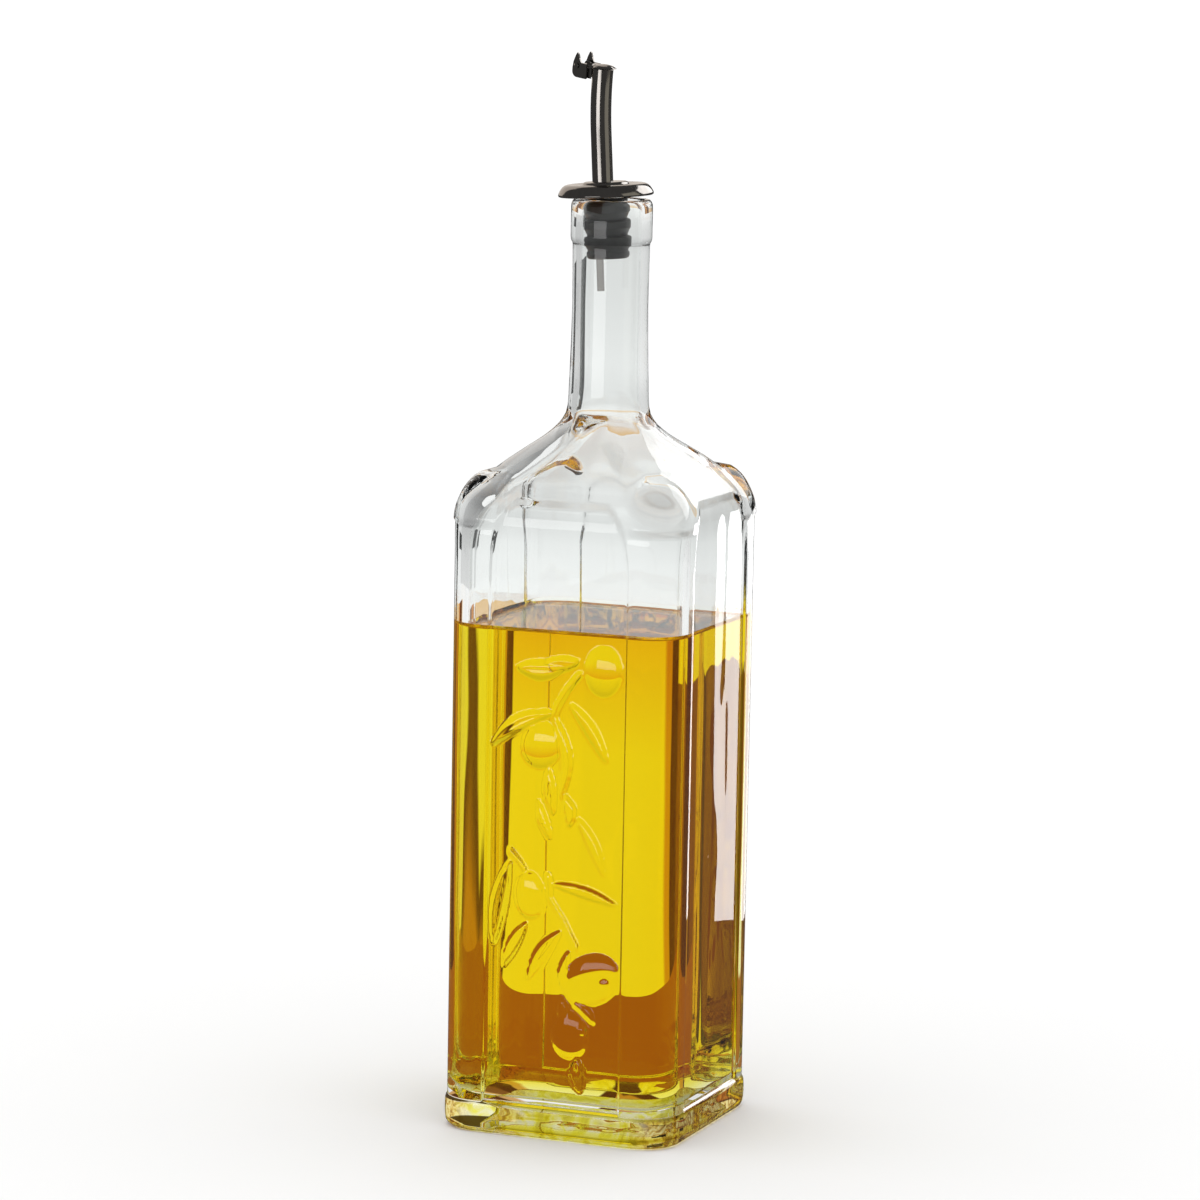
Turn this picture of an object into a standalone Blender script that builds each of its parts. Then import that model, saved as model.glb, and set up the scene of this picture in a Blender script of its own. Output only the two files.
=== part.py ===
# Square glass bottle of olive oil with a pourer in its mouth.
# The front face looks along -Y and carries an embossed olive branch. The bottle stands on z = 0, its axis on Z.
# The pourer is a ribbed stopper under a steel cap, with a bent spout that a hinged flap covers, and a thin air tube.
# Metres, +Z up.
import math

import bmesh
import bpy
from mathutils import Matrix, Vector

MM = 0.001
GAP = 0.3 * MM  # clearance between pieces that touch

# Bottle
BODY_HALF = 40.0 * MM  # half the width across the flats
BODY_CORNER = 12.4 * MM
BODY_TOP = 188.0 * MM  # end of the straight sides
WALL_HALF = 36.2 * MM  # half the width of the hollow
WALL_CORNER = 9.4 * MM
FLOOR_TOP = 11.0 * MM  # thick base, measured at the foot of the walls
FLOOR_FILLET = 8.0 * MM
FLOOR_PUNT = 2.4 * MM  # rise of the floor at its middle
BASE_RECESS = 1.2 * MM
NECK_RADIUS = 12.2 * MM
BORE_RADIUS = 9.9 * MM
LIP_RADIUS = 13.1 * MM
LIP_TOP = 300.0 * MM
OIL_LEVEL = 163.5 * MM

# Corner columns end as domes that stand proud of the shoulder
COLUMN_AXIS = BODY_HALF - BODY_CORNER
DOME_START = 198.0 * MM
DOME_HEIGHT = 16.4 * MM

# Sunk panels, one on each face
PANEL_HALF = 23.5 * MM
PANEL_BOTTOM = 10.6 * MM
PANEL_TOP = 205.0 * MM
PANEL_DEPTH = 1.0 * MM
ARCH_WIDTH = 9.0 * MM  # the arch's corners are quarter ellipses
ARCH_HEIGHT = 22.0 * MM

# Pourer
CAP_RADIUS = 15.3 * MM
CAP_BOSS_TOP = 4.6 * MM  # above the cap's underside
STOPPER_RADIUS = 7.7 * MM
STOPPER_CORE = 6.5 * MM
STOPPER_LENGTH = 19.9 * MM
BARB_PITCH = 4.8 * MM
BARB_COUNT = 3
SPOUT_RADIUS = 3.35 * MM
SPOUT_WALL = 0.5 * MM
SPOUT_STRAIGHT = 20.0 * MM  # above the cap's underside
SPOUT_BEND = 120.0 * MM
SPOUT_BENT_LENGTH = 20.6 * MM
SPOUT_PLACE = (0.66 * MM, -2.08 * MM)
AIR_TUBE_RADIUS = 1.25 * MM
AIR_TUBE_WALL = 0.4 * MM
AIR_TUBE_PLACE = (-4.31 * MM, 0.76 * MM)
AIR_TUBE_END = -30.6 * MM
SPOUT_HEADING = math.radians(-19.3)  # the way the spout points, turned from +X
LEAN_HEADING = math.radians(201.7)  # the pourer sits a little askew: pushed and tipped this way
LEAN = math.radians(3.0)
SHIFT = 2.0 * MM
SEAT_RISE = 0.9 * MM  # the cap's underside above the lip, at the pourer's own axis

# Flap, in the frame of the spout's mouth: +X forwards, +Z out of the mouth
PIN_X = -8.25 * MM
PIN_Z = -0.2 * MM
PIN_RADIUS = 0.65 * MM
PIN_PLAY = 0.2 * MM
PIN_HEAD_RADIUS = 0.9 * MM
LUG_INNER = 2.8 * MM
SHEET = 0.6 * MM
DISC_RADIUS = 4.0 * MM
DISC_FORWARD = 0.4 * MM

# Embossed branch on the front panel: places in mm across the panel from its middle, and up from the table
RELIEF_OLIVE = 1.3 * MM
RELIEF_LEAF = 0.9 * MM
RELIEF_STEM = 0.6 * MM
OLIVES = (  # across, up, half width, half length, turn of the long axis from upright in degrees
    (15.6, 153.3, 6.2, 7.9, 0),
    (-5.4, 128.2, 6.9, 7.5, 20),
    (-8.5, 79.2, 5.5, 7.9, -6),
    (13.1, 53.7, 7.8, 10.4, 60),
    (6.2, 34.9, 6.7, 7.8, 0),
)
LEAVES = (  # foot, tip, half width, sideways bow
    ((1.6, 152.9), (-13.9, 152.6), 3.1, 0.4),
    ((-4.3, 154.9), (7.3, 155.8), 2.2, -0.6),
    ((-1.3, 139.0), (-22.6, 127.0), 2.6, -2.0),
    ((4.4, 142.4), (17.4, 124.0), 2.0, 1.0),
    ((-0.9, 137.6), (2.0, 111.5), 2.2, 2.6),
    ((-2.6, 121.1), (-0.9, 106.0), 1.9, -0.4),
    ((3.0, 112.8), (4.8, 102.3), 2.0, 1.2),
    ((-5.9, 110.0), (-1.5, 98.0), 1.7, -0.6),
    ((7.6, 105.8), (16.9, 87.6), 2.0, 0.8),
    ((-15.4, 89.9), (-20.6, 62.0), 3.0, -1.0),
    ((-1.1, 83.6), (21.8, 78.4), 1.8, 0.8),
    ((-9.0, 70.6), (-17.1, 55.5), 2.4, -0.6),
    ((2.5, 68.7), (-8.6, 51.4), 2.5, -1.2),
    ((5.7, 63.0), (8.1, 45.2), 2.0, -3.2),
    ((3.4, 47.4), (5.0, 36.5), 2.2, -0.3),
    ((7.2, 45.6), (14.6, 39.6), 1.8, 0.9),
    ((8.8, 28.2), (10.0, 16.3), 2.6, -0.4),
)
STEMS = (  # points along each stem
    ((7.3, 151.6), (3.4, 146.6), (0.3, 141.4), (-1.1, 137.6), (1.4, 132.0), (2.9, 124.0)),
    ((-15.4, 93.3), (-12.6, 90.6), (-10.2, 87.6)),
    ((-2.2, 86.0), (-1.6, 79.0), (3.8, 71.3), (8.2, 63.4)),
)

# Shoulder and neck of the outside: height, half width across the flats, corner radius
OUTER_SECTIONS = (
    (188.0, 40.0, 12.4),
    (198.0, 40.0, 12.6),
    (203.0, 39.3, 13.4),
    (208.0, 36.4, 14.0),
    (212.0, 32.4, 12.8),
    (216.0, 28.0, 11.4),
    (220.0, 23.4, 12.2),
    (223.0, 19.8, 13.2),
    (225.5, 17.2, 13.6),
    (228.2, 15.2, 14.4),
    (231.5, 13.5, 13.5),
    (235.0, 13.0, 13.0),
    (241.0, 12.8, 12.8),
    (250.0, 12.5, 12.5),
    (265.0, 12.2, 12.2),
    (285.2, 12.4, 12.4),
)
# The same for the hollow
INNER_SECTIONS = (
    (188.0, 36.2, 9.4),
    (196.0, 36.1, 10.4),
    (202.0, 35.2, 12.4),
    (206.0, 33.0, 13.8),
    (210.0, 29.4, 14.0),
    (214.0, 25.0, 13.5),
    (218.0, 20.2, 13.0),
    (221.0, 16.6, 13.0),
    (224.0, 13.8, 12.6),
    (227.0, 12.1, 12.0),
    (231.0, 11.0, 11.0),
    (236.0, 10.2, 10.2),
    (243.0, 9.9, 9.9),
    (298.4, 9.9, 9.9),
)


def clear_scene():
    for item in list(bpy.data.objects):
        bpy.data.objects.remove(item, do_unlink=True)


def new_collection(name):
    collection = bpy.data.collections.new(name)
    bpy.context.scene.collection.children.link(collection)
    return collection


def new_material(name, color, metallic, roughness, transmission=0.0, ior=1.5):
    material = bpy.data.materials.new(name)
    material.use_nodes = True
    shader = material.node_tree.nodes["Principled BSDF"]
    shader.inputs["Base Color"].default_value = (*color, 1.0)
    shader.inputs["Metallic"].default_value = metallic
    shader.inputs["Roughness"].default_value = roughness
    shader.inputs["Transmission Weight"].default_value = transmission
    shader.inputs["IOR"].default_value = ior
    return material


def add_object(name, mesh, collection, material=None, parent=None):
    item = bpy.data.objects.new(name, mesh)
    collection.objects.link(item)
    item.parent = parent
    if material is not None:
        mesh.materials.append(material)
    return item


def as_guide(item):
    item.hide_render = True
    item.display_type = "WIRE"
    return item


# Sections of the bottle
def square_reach(angle, half, corner):
    """Distance from the axis to a rounded square, along a polar angle."""
    turn = angle % (math.pi / 2)
    turn = min(turn, math.pi / 2 - turn)
    centre = half - corner
    if half * math.tan(turn) <= centre + 1e-9:
        return half / math.cos(turn)
    along = centre * (math.cos(turn) + math.sin(turn))
    return along + math.sqrt(max(along ** 2 - 2 * centre ** 2 + corner ** 2, 0.0))


def column_reach(angle, height):
    """Distance from the axis to the far side of a corner column's dome, or 0 where the ray misses it."""
    rise = (height - DOME_START) / DOME_HEIGHT
    if not 0.0 <= rise < 1.0:
        return 0.0
    radius = BODY_CORNER * math.sqrt(1.0 - rise ** 2)
    turn = angle % (math.pi / 2)
    along = COLUMN_AXIS * (math.cos(turn) + math.sin(turn))
    inside = along ** 2 - 2 * COLUMN_AXIS ** 2 + radius ** 2
    return along + math.sqrt(inside) if inside > 0.0 else 0.0


def section_at(sections, height):
    """Half width and corner radius at a height, by a smooth curve through the named sections."""
    rows = [(z * MM, half * MM, corner * MM) for z, half, corner in sections]
    last = len(rows) - 1
    i = next((k for k in range(last) if height <= rows[k + 1][0]), last - 1)
    before, low, high, after = rows[max(i - 1, 0)], rows[i], rows[i + 1], rows[min(i + 2, last)]
    span = high[0] - low[0]
    t = min(max((height - low[0]) / span, 0.0), 1.0)
    values = []
    for k in (1, 2):
        slope_low = (high[k] - before[k]) / max(high[0] - before[0], 1e-9) * span
        slope_high = (after[k] - low[k]) / max(after[0] - low[0], 1e-9) * span
        values.append(
            (2 * t ** 3 - 3 * t ** 2 + 1) * low[k]
            + (t ** 3 - 2 * t ** 2 + t) * slope_low
            + (3 * t ** 2 - 2 * t ** 3) * high[k]
            + (t ** 3 - t ** 2) * slope_high
        )
    half, corner = values
    return half, min(corner, half)


def section_angles():
    """Polar angles of the ring's points: the flats' middles and ends, and the corner arcs between them."""
    quarter = [0.0, math.radians(17.3)]
    arc_steps = 6
    for k in range(arc_steps + 1):
        swing = math.pi / 2 * k / arc_steps
        quarter.append(
            math.atan2(COLUMN_AXIS + BODY_CORNER * math.sin(swing), COLUMN_AXIS + BODY_CORNER * math.cos(swing))
        )
    quarter.append(math.radians(90 - 17.3))
    return [angle + side * math.pi / 2 for side in range(4) for angle in quarter]


def ring(height, half, corner, inset=0.0, domes=False):
    points = []
    for angle in section_angles():
        reach = square_reach(angle, half - inset, max(corner - inset, 0.2 * MM))
        if domes:
            reach = max(reach, column_reach(angle, height))
        points.append(Vector((reach * math.cos(angle), reach * math.sin(angle), height)))
    return points


def loft(name, rings, collection, material):
    """Closed solid through rings of equal counts, capped at both ends."""
    mesh = bpy.data.meshes.new(name)
    shape = bmesh.new()
    loops = [[shape.verts.new(point) for point in points] for points in rings]
    count = len(rings[0])
    for low, high in zip(loops, loops[1:]):
        for k in range(count):
            shape.faces.new((low[k], low[(k + 1) % count], high[(k + 1) % count], high[k]))
    shape.faces.new(list(reversed(loops[0])))
    shape.faces.new(loops[-1])
    bmesh.ops.recalc_face_normals(shape, faces=shape.faces)
    shape.to_mesh(mesh)
    shape.free()
    mesh.shade_smooth()
    mesh.set_sharp_from_angle(angle=math.radians(35))
    return add_object(name, mesh, collection, material)


def floor_rings(inset):
    """Hollow's floor, from its middle outwards and up the fillet to the foot of the walls."""
    rings = []
    edge = WALL_HALF - FLOOR_FILLET
    for share in (0.15, 0.5, 0.8):
        rise = FLOOR_PUNT * (1.0 - share ** 2)
        rings.append(ring(FLOOR_TOP + rise + inset, edge * share, edge * share * 0.4))
    steps = 5
    for k in range(steps + 1):
        swing = math.pi / 2 * k / steps
        pull = FLOOR_FILLET * (1.0 - math.sin(swing))
        height = FLOOR_TOP + FLOOR_FILLET * (1.0 - math.cos(swing)) + inset * math.cos(swing)
        side_inset = inset * math.sin(swing)
        rings.append(ring(height, WALL_HALF - pull, max(WALL_CORNER - pull, 1.5 * MM), side_inset))
    return rings


def bottle_rings():
    """Whole surface: under the base, up the outside, over the lip, and down the inside to the floor."""
    recess = BODY_HALF - 12.0 * MM
    rings = [ring(BASE_RECESS, recess * 0.2, recess * 0.1)]
    rings.append(ring(BASE_RECESS, recess, 9.0 * MM))
    rings.append(ring(0.0, recess + 2.2 * MM, 10.0 * MM))
    foot = ((0.0, 38.6, 12.4), (0.9, 39.8, 12.6), (2.4, 40.35, 12.4), (5.5, 40.5, 12.2), (9.4, 40.4, 12.2))
    rings += [ring(z * MM, half * MM, corner * MM) for z, half, corner in foot]
    rings.append(ring(PANEL_BOTTOM, BODY_HALF, BODY_CORNER))
    heights = (188, 193, 198, 201, 203.5, 206, 208, 210, 212, 213.6, 214.8, 216.5, 218.5, 220.5, 222.5, 224.5, 226.5)
    heights += (228.5, 231, 235, 241, 250, 265, 285.2)
    rings += [ring(z * MM, *section_at(OUTER_SECTIONS, z * MM), domes=True) for z in heights]
    lip = ((286.0, 12.6), (286.7, 13.0), (288.0, 13.1), (297.6, 13.1), (299.2, 12.7), (300.0, 11.8), (300.0, 10.7))
    rings += [ring(z * MM, radius * MM, radius * MM) for z, radius in lip]
    rings.append(ring(LIP_TOP - 0.7 * MM, BORE_RADIUS + 0.1 * MM, BORE_RADIUS + 0.1 * MM))
    heights = (298.4, 243, 239, 235, 231, 228, 225, 222, 219, 216, 213, 210, 207, 204, 201, 196, 188)
    rings += [ring(z * MM, *section_at(INNER_SECTIONS, z * MM)) for z in heights]
    rings += list(reversed(floor_rings(0.0)))
    return rings


def panel_outline():
    """Arched outline of a sunk panel, across and up."""
    points = [(PANEL_HALF, PANEL_BOTTOM), (PANEL_HALF, PANEL_TOP - ARCH_HEIGHT)]
    steps = 10
    centre = PANEL_HALF - ARCH_WIDTH
    for k in range(1, steps + 1):
        swing = math.pi / 2 * k / steps
        points.append((
            centre + ARCH_WIDTH * math.cos(swing),
            PANEL_TOP - ARCH_HEIGHT + ARCH_HEIGHT * math.sin(swing),
        ))
    mirrored = [(-across, up) for across, up in reversed(points)]
    return points + mirrored


def to_mesh_object(curve_item, name, collection, material=None, parent=None):
    """The curve's evaluated shape as a mesh with welded caps; the curve is removed."""
    bpy.context.view_layer.update()
    graph = bpy.context.evaluated_depsgraph_get()
    mesh = bpy.data.meshes.new_from_object(curve_item.evaluated_get(graph))
    place = curve_item.matrix_basis.copy()
    shape = bmesh.new()
    shape.from_mesh(mesh)
    bmesh.ops.remove_doubles(shape, verts=shape.verts, dist=1e-6)
    bmesh.ops.recalc_face_normals(shape, faces=shape.faces)
    shape.to_mesh(mesh)
    shape.free()
    mesh.materials.clear()
    mesh.name = name
    bpy.data.objects.remove(curve_item, do_unlink=True)
    item = add_object(name, mesh, collection, material, parent)
    item.matrix_basis = place
    return item


def plate(name, outline, thickness, collection, material=None, parent=None):
    """Flat plate from a 2D outline, centred on the outline's own plane."""
    data = bpy.data.curves.new(name, "CURVE")
    data.dimensions = "2D"
    data.fill_mode = "BOTH"
    data.extrude = thickness / 2
    spline = data.splines.new("POLY")
    spline.points.add(len(outline) - 1)
    for point, (x, y) in zip(spline.points, outline):
        point.co = (x, y, 0.0, 1.0)
    spline.use_cyclic_u = True
    curve_item = add_object(name + "_curve", data, collection)
    return to_mesh_object(curve_item, name, collection, material, parent)


def tube(name, points, radius, collection, material=None, parent=None, resolution=3):
    """Round rod along a path, with filled ends."""
    data = bpy.data.curves.new(name, "CURVE")
    data.dimensions = "3D"
    data.bevel_depth = radius
    data.bevel_resolution = resolution
    data.use_fill_caps = True
    spline = data.splines.new("POLY")
    spline.points.add(len(points) - 1)
    for point, place in zip(spline.points, points):
        point.co = (*place, 1.0)
    curve_item = add_object(name + "_curve", data, collection)
    return to_mesh_object(curve_item, name, collection, material, parent)


def turned(name, profile, collection, material=None, parent=None, steps=32):
    """Turned solid from a profile that runs from the axis over the outside, top to bottom, to the axis."""
    mesh = bpy.data.meshes.new(name)
    mesh.from_pydata([(radius, 0.0, height) for radius, height in profile],
                     [(k, k + 1) for k in range(len(profile) - 1)], [])
    item = add_object(name, mesh, collection, material, parent)
    screw = item.modifiers.new("turn", "SCREW")
    screw.steps = steps
    screw.render_steps = steps
    screw.use_merge_vertices = True
    screw.merge_threshold = 0.00001
    screw.use_smooth_shade = True
    return item


def combine(item, other, operation):
    """Boolean with one object, kept as a modifier."""
    modifier = item.modifiers.new(operation.lower(), "BOOLEAN")
    modifier.operation = operation
    modifier.object = other
    modifier.solver = "EXACT"
    as_guide(other)


def combine_collection(item, collection, operation):
    modifier = item.modifiers.new(operation.lower(), "BOOLEAN")
    modifier.operation = operation
    modifier.operand_type = "COLLECTION"
    modifier.collection = collection
    modifier.solver = "EXACT"


def apply_modifiers(item):
    bpy.context.view_layer.update()
    graph = bpy.context.evaluated_depsgraph_get()
    mesh = bpy.data.meshes.new_from_object(item.evaluated_get(graph))
    item.modifiers.clear()
    item.data = mesh


# Embossed branch
def on_panel(across, up, depth):
    """World point of the front panel; depth runs out of the glass."""
    return Vector((across, -(BODY_HALF - PANEL_DEPTH) - depth, up))


def spindle(name, path, widths, height, collection):
    """Low ridge along a path on the panel: four-sided sections between two end points."""
    sink = 0.12 * MM
    root = 0.9 * MM
    shape = bmesh.new()
    sections = []
    for k in range(1, len(path) - 1):
        ahead = (path[k + 1] - path[k - 1]).normalized()
        side = Vector((-ahead.y, ahead.x)) * widths[k]
        left, right = path[k] + side, path[k] - side
        crest = height * (0.55 + 0.45 * widths[k] / max(widths))
        sections.append([
            shape.verts.new(on_panel(left.x, left.y, -sink)),
            shape.verts.new(on_panel(path[k].x, path[k].y, crest)),
            shape.verts.new(on_panel(right.x, right.y, -sink)),
            shape.verts.new(on_panel(path[k].x, path[k].y, -root)),
        ])
    start = shape.verts.new(on_panel(path[0].x, path[0].y, -sink))
    end = shape.verts.new(on_panel(path[-1].x, path[-1].y, -sink))
    for k in range(4):
        shape.faces.new((start, sections[0][k], sections[0][(k + 1) % 4]))
        shape.faces.new((end, sections[-1][(k + 1) % 4], sections[-1][k]))
    for low, high in zip(sections, sections[1:]):
        for k in range(4):
            shape.faces.new((low[k], high[k], high[(k + 1) % 4], low[(k + 1) % 4]))
    bmesh.ops.recalc_face_normals(shape, faces=shape.faces)
    mesh = bpy.data.meshes.new(name)
    shape.to_mesh(mesh)
    shape.free()
    return as_guide(add_object(name, mesh, collection))


def add_leaf(index, foot, tip, half_width, bow, collection):
    foot, tip = Vector(foot) * MM, Vector(tip) * MM
    ahead = (tip - foot).normalized()
    side = Vector((-ahead.y, ahead.x))
    steps = 7
    path, widths = [], []
    for k in range(steps + 1):
        t = k / steps
        swell = math.sin(math.pi * t)
        path.append(foot.lerp(tip, t) + side * bow * MM * swell)
        widths.append(half_width * MM * swell ** 0.8)
    spindle(f"leaf_{index}", path, widths, RELIEF_LEAF, collection)


def add_stem(index, points, collection):
    path = [Vector(point) * MM for point in points]
    widths = [0.9 * MM] * len(path)
    spindle(f"stem_{index}", path, widths, RELIEF_STEM, collection)


def add_olive(index, across, up, half_width, half_length, turn, collection):
    sink = 0.3 * MM
    bpy.ops.mesh.primitive_uv_sphere_add(segments=18, ring_count=10, radius=1.0)
    item = bpy.context.object
    item.name = f"olive_{index}"
    for holder in list(item.users_collection):
        holder.objects.unlink(item)
    collection.objects.link(item)
    size = Matrix.Diagonal((half_width * MM, RELIEF_OLIVE + sink, half_length * MM, 1.0))
    place = Matrix.Translation(on_panel(across * MM, up * MM, -sink))
    item.data.transform(place @ Matrix.Rotation(math.radians(turn), 4, "Y") @ size)
    as_guide(item)


def add_relief(bottle):
    collection = new_collection("relief")
    for index, row in enumerate(LEAVES):
        add_leaf(index, *row, collection)
    for index, row in enumerate(STEMS):
        add_stem(index, row, collection)
    for index, row in enumerate(OLIVES):
        add_olive(index, *row, collection)
    combine_collection(bottle, collection, "UNION")
    apply_modifiers(bottle)
    for item in list(collection.objects):
        bpy.data.objects.remove(item, do_unlink=True)
    bpy.data.collections.remove(collection)


# Glass and oil
def add_bottle(parts, material):
    bottle = loft("bottle", bottle_rings(), parts, material)
    cutters = new_collection("panel_cutters")
    reach = 4.0 * MM
    for side in range(4):
        cutter = plate(f"panel_cutter_{side}", panel_outline(), reach, cutters)
        stand = Matrix.Rotation(math.pi / 2, 4, "X")
        outward = Matrix.Translation((0.0, -(BODY_HALF - PANEL_DEPTH + reach / 2), 0.0))
        cutter.data.transform(Matrix.Rotation(side * math.pi / 2, 4, "Z") @ outward @ stand)
        as_guide(cutter)
    combine_collection(bottle, cutters, "DIFFERENCE")
    apply_modifiers(bottle)
    for item in list(cutters.objects):
        bpy.data.objects.remove(item, do_unlink=True)
    bpy.data.collections.remove(cutters)
    add_relief(bottle)
    bottle.data.shade_smooth()
    bottle.data.set_sharp_from_angle(angle=math.radians(30))
    return bottle


def add_oil(parts, material):
    rings = floor_rings(GAP)
    rings.append(ring(OIL_LEVEL, WALL_HALF, WALL_CORNER, GAP))
    rings.append(ring(OIL_LEVEL, WALL_HALF * 0.15, WALL_HALF * 0.06))
    return loft("oil", rings, parts, material)


# Pourer
def stopper_profile():
    profile = [(0.0, -GAP), (STOPPER_CORE + 0.4 * MM, -GAP), (STOPPER_CORE + 0.4 * MM, -3.0 * MM)]
    for k in range(BARB_COUNT):
        top = -3.2 * MM - k * BARB_PITCH
        profile += [
            (STOPPER_RADIUS, top),
            (STOPPER_RADIUS, top - 2.6 * MM),
            (STOPPER_CORE, top - BARB_PITCH + 0.5 * MM),
        ]
    profile += [
        (STOPPER_CORE + 0.5 * MM, -17.9 * MM),
        (STOPPER_CORE + 0.2 * MM, -STOPPER_LENGTH + 0.6 * MM),
        (STOPPER_CORE - 0.3 * MM, -STOPPER_LENGTH),
        (0.0, -STOPPER_LENGTH),
    ]
    return profile


def cap_profile():
    points = ((0.0, 4.6), (6.4, 4.6), (7.1, 4.3), (7.4, 3.7), (8.2, 3.5), (11.8, 3.8), (13.2, 3.6), (14.2, 2.8))
    points += ((15.1, 1.2), (15.3, 0.5), (15.1, 0.0), (0.0, 0.0))
    return [(radius * MM, height * MM) for radius, height in points]


def spout_path(start, extra=0.0):
    """Centre line: straight up, then a slow bend forwards. extra lengthens the far end."""
    x, y = SPOUT_PLACE
    points = [(x, y, start), (x, y, CAP_BOSS_TOP), (x, y, SPOUT_STRAIGHT)]
    steps = 7
    total = SPOUT_BENT_LENGTH + extra
    for k in range(1, steps + 1):
        swing = total / SPOUT_BEND * k / steps
        points.append((
            x + SPOUT_BEND * (1.0 - math.cos(swing)),
            y,
            SPOUT_STRAIGHT + SPOUT_BEND * math.sin(swing),
        ))
    return points


def upright(place, low, high):
    return [(*place, low), (*place, high)]


def add_spout(parts, cutters, metal, pourer):
    below = -STOPPER_LENGTH
    spout = tube("spout", spout_path(below + 0.4 * MM), SPOUT_RADIUS, parts, metal, pourer, resolution=6)
    bore = tube("spout_bore", spout_path(below - 3 * MM, 3 * MM), SPOUT_RADIUS - SPOUT_WALL, cutters, None, pourer, 6)
    combine(spout, bore, "DIFFERENCE")
    return spout


def add_air_tube(parts, cutters, metal, pourer):
    top = CAP_BOSS_TOP + 0.5 * MM
    air = tube("air_tube", upright(AIR_TUBE_PLACE, AIR_TUBE_END, top), AIR_TUBE_RADIUS, parts, metal, pourer)
    path = upright(AIR_TUBE_PLACE, AIR_TUBE_END - MM, top + MM)
    bore = tube("air_tube_bore", path, AIR_TUBE_RADIUS - AIR_TUBE_WALL, cutters, None, pourer)
    combine(air, bore, "DIFFERENCE")
    return air


def add_bored(name, profile, parts, cutters, material, pourer):
    """Turned piece with clear holes for the spout and the air tube."""
    item = turned(name, profile, parts, material, pourer, steps=36)
    span = (-STOPPER_LENGTH - 3 * MM, CAP_BOSS_TOP + 3 * MM)
    for hole, place, radius in (("spout", SPOUT_PLACE, SPOUT_RADIUS), ("air", AIR_TUBE_PLACE, AIR_TUBE_RADIUS)):
        path = upright(place, *span)
        cutter = tube(f"{name}_{hole}_hole", path, radius + GAP, cutters, None, pourer, resolution=6)
        combine(item, cutter, "DIFFERENCE")
    return item


# Hinge and flap
def arc(centre_x, centre_z, radius, start, end, steps):
    points = []
    for k in range(steps + 1):
        swing = math.radians(start + (end - start) * k / steps)
        points.append((centre_x + radius * math.cos(swing), centre_z + radius * math.sin(swing)))
    return points


def lug_outline():
    """Side of the flap: a plate that hangs beside the hinge, with a thumb horn above the pin."""
    points = [(-4.1 * MM, 0.9 * MM), (-6.4 * MM, 0.9 * MM)]
    points += [(-6.9 * MM, 1.4 * MM), (-7.4 * MM, 2.4 * MM), (-7.9 * MM, 3.7 * MM), (-8.3 * MM, 4.1 * MM)]
    points += [(-8.7 * MM, 3.7 * MM), (-9.3 * MM, 2.4 * MM), (-9.8 * MM, 0.9 * MM), (-10.0 * MM, -0.8 * MM)]
    points += arc(-8.0 * MM, -1.9 * MM, 2.0 * MM, 180, 270, 5)
    points.append((-4.1 * MM, -3.9 * MM))
    return points


def cheek_outline():
    points = [(-2.0 * MM, -0.5 * MM), (-2.0 * MM, -3.6 * MM), (-6.0 * MM, -3.6 * MM)]
    points += arc(PIN_X, PIN_Z, 1.5 * MM, 230, 40, 9)
    points.append((-6.2 * MM, -0.5 * MM))
    return points


def side_plate(name, outline, inner, side, collection, material, parent):
    """Plate in the spout's own plane, at a distance to one side of it."""
    item = plate(name, outline, SHEET, collection, material, parent)
    middle = inner + SHEET / 2
    stand = Matrix.Rotation(math.pi / 2, 4, "X")
    item.data.transform(Matrix.Translation((0.0, side * middle, 0.0)) @ stand)
    return item


def block(name, low, high, collection, material, parent):
    mesh = bpy.data.meshes.new(name)
    shape = bmesh.new()
    bmesh.ops.create_cube(shape, size=1.0)
    size = Vector(high) - Vector(low)
    middle = (Vector(high) + Vector(low)) / 2
    shape.transform(Matrix.Translation(middle) @ Matrix.Diagonal((*size, 1.0)))
    shape.to_mesh(mesh)
    shape.free()
    return add_object(name, mesh, collection, material, parent)


def pin_hole(name, cutters, head):
    points = [(PIN_X, -8 * MM, PIN_Z), (PIN_X, 8 * MM, PIN_Z)]
    return tube(name, points, PIN_RADIUS + PIN_PLAY, cutters, None, head, resolution=3)


def add_bracket(parts, cutters, metal, head, pourer):
    inner = LUG_INNER - GAP - SHEET
    bracket = side_plate("hinge_bracket", cheek_outline(), inner, -1, parts, metal, head)
    far = side_plate("bracket_cheek", cheek_outline(), inner, 1, cutters, None, head)
    web_low = (-4.9 * MM, -inner - SHEET / 2, -3.4 * MM)
    web = block("bracket_web", web_low, (-4.3 * MM, inner + SHEET / 2, -0.7 * MM), cutters, None, head)
    combine(bracket, far, "UNION")
    combine(bracket, web, "UNION")
    clearance = tube("bracket_clearance", spout_path(MM, 3 * MM), SPOUT_RADIUS + GAP, cutters, None, pourer, 6)
    combine(bracket, clearance, "DIFFERENCE")
    combine(bracket, pin_hole("bracket_pin_hole", cutters, head), "DIFFERENCE")
    return bracket


def add_pin(parts, metal, head):
    """Rivet through both lugs, turned about its own axis and laid along Y."""
    shank = LUG_INNER + SHEET + PIN_PLAY
    end = shank + 0.45 * MM
    profile = [(0.0, end), (0.5 * MM, end - 0.05 * MM), (PIN_HEAD_RADIUS, shank + 0.15 * MM), (PIN_HEAD_RADIUS, shank)]
    profile.append((PIN_RADIUS, shank))
    profile += [(radius, -height) for radius, height in reversed(profile)]
    pin = turned("hinge_pin", profile, parts, metal, head, steps=16)
    pin.matrix_basis = Matrix.Translation((PIN_X, 0.0, PIN_Z)) @ Matrix.Rotation(math.pi / 2, 4, "X")
    return pin


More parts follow.
